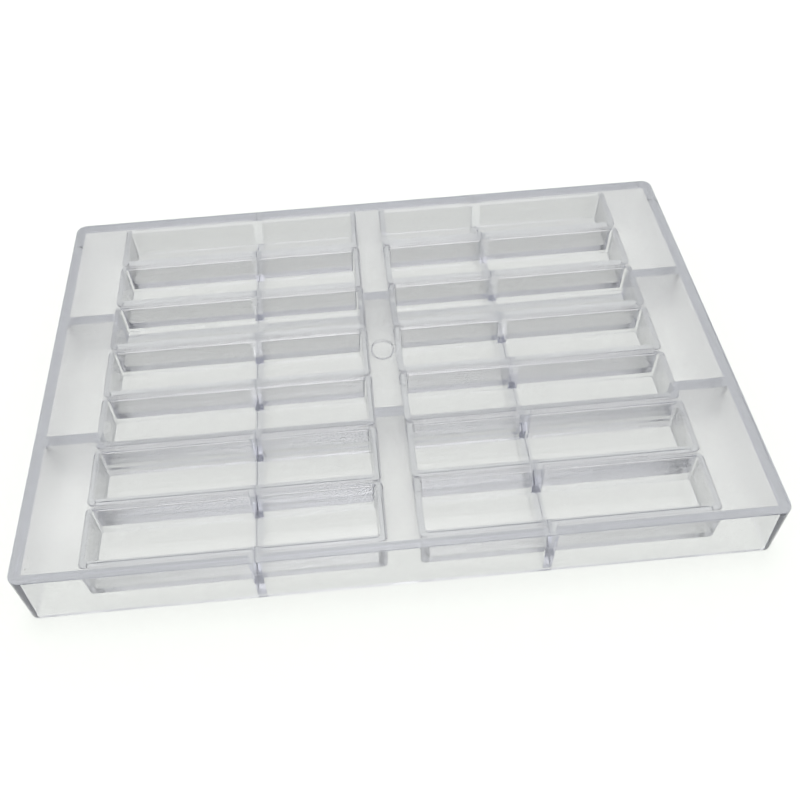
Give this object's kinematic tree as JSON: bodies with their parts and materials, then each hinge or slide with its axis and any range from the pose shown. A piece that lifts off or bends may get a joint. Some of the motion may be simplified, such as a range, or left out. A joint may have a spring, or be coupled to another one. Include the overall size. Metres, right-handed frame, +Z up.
{
  "type": "bar mould",
  "caption": "Clear rigid tray mould: long drafted troughs in two columns, hung under a flat deck, with a deep skirt and ribs below. For casting bars of soap, wax, resin or chocolate.",
  "frame": {"origin": "centre of the rectangle that the skirt's lower edge stands on", "axes": "+X along the mould's long side and along the troughs, +Y to the back, +Z up out of the troughs"},
  "size_m": [0.275, 0.175, 0.028],
  "materials": {
    "clear_polycarbonate": "clear, glossy, with faint moulding haze"
  },
  "bodies": {
    "root": {"skirt_front": "clear_polycarbonate", "skirt_back": "clear_polycarbonate", "skirt_left": "clear_polycarbonate", "skirt_right": "clear_polycarbonate", "deck_panel_left": "clear_polycarbonate", "deck_panel_centre": "clear_polycarbonate", "deck_panel_right": "clear_polycarbonate", "gate_pad": "clear_polycarbonate", "tray_left_1": "clear_polycarbonate", "tray_left_2": "clear_polycarbonate", "tray_left_3": "clear_polycarbonate", "tray_left_4": "clear_polycarbonate", "tray_left_5": "clear_polycarbonate", "tray_left_6": "clear_polycarbonate", "tray_left_7": "clear_polycarbonate", "tray_right_1": "clear_polycarbonate", "tray_right_2": "clear_polycarbonate", "tray_right_3": "clear_polycarbonate", "tray_right_4": "clear_polycarbonate", "tray_right_5": "clear_polycarbonate", "tray_right_6": "clear_polycarbonate", "tray_right_7": "clear_polycarbonate", "long_rib_left": "clear_polycarbonate", "long_rib_right": "clear_polycarbonate", "cross_rib_front_left": "clear_polycarbonate", "cross_rib_front_centre": "clear_polycarbonate", "cross_rib_front_right": "clear_polycarbonate", "cross_rib_back_left": "clear_polycarbonate", "cross_rib_back_centre": "clear_polycarbonate", "cross_rib_back_right": "clear_polycarbonate"}
  },
  "joints": []
}
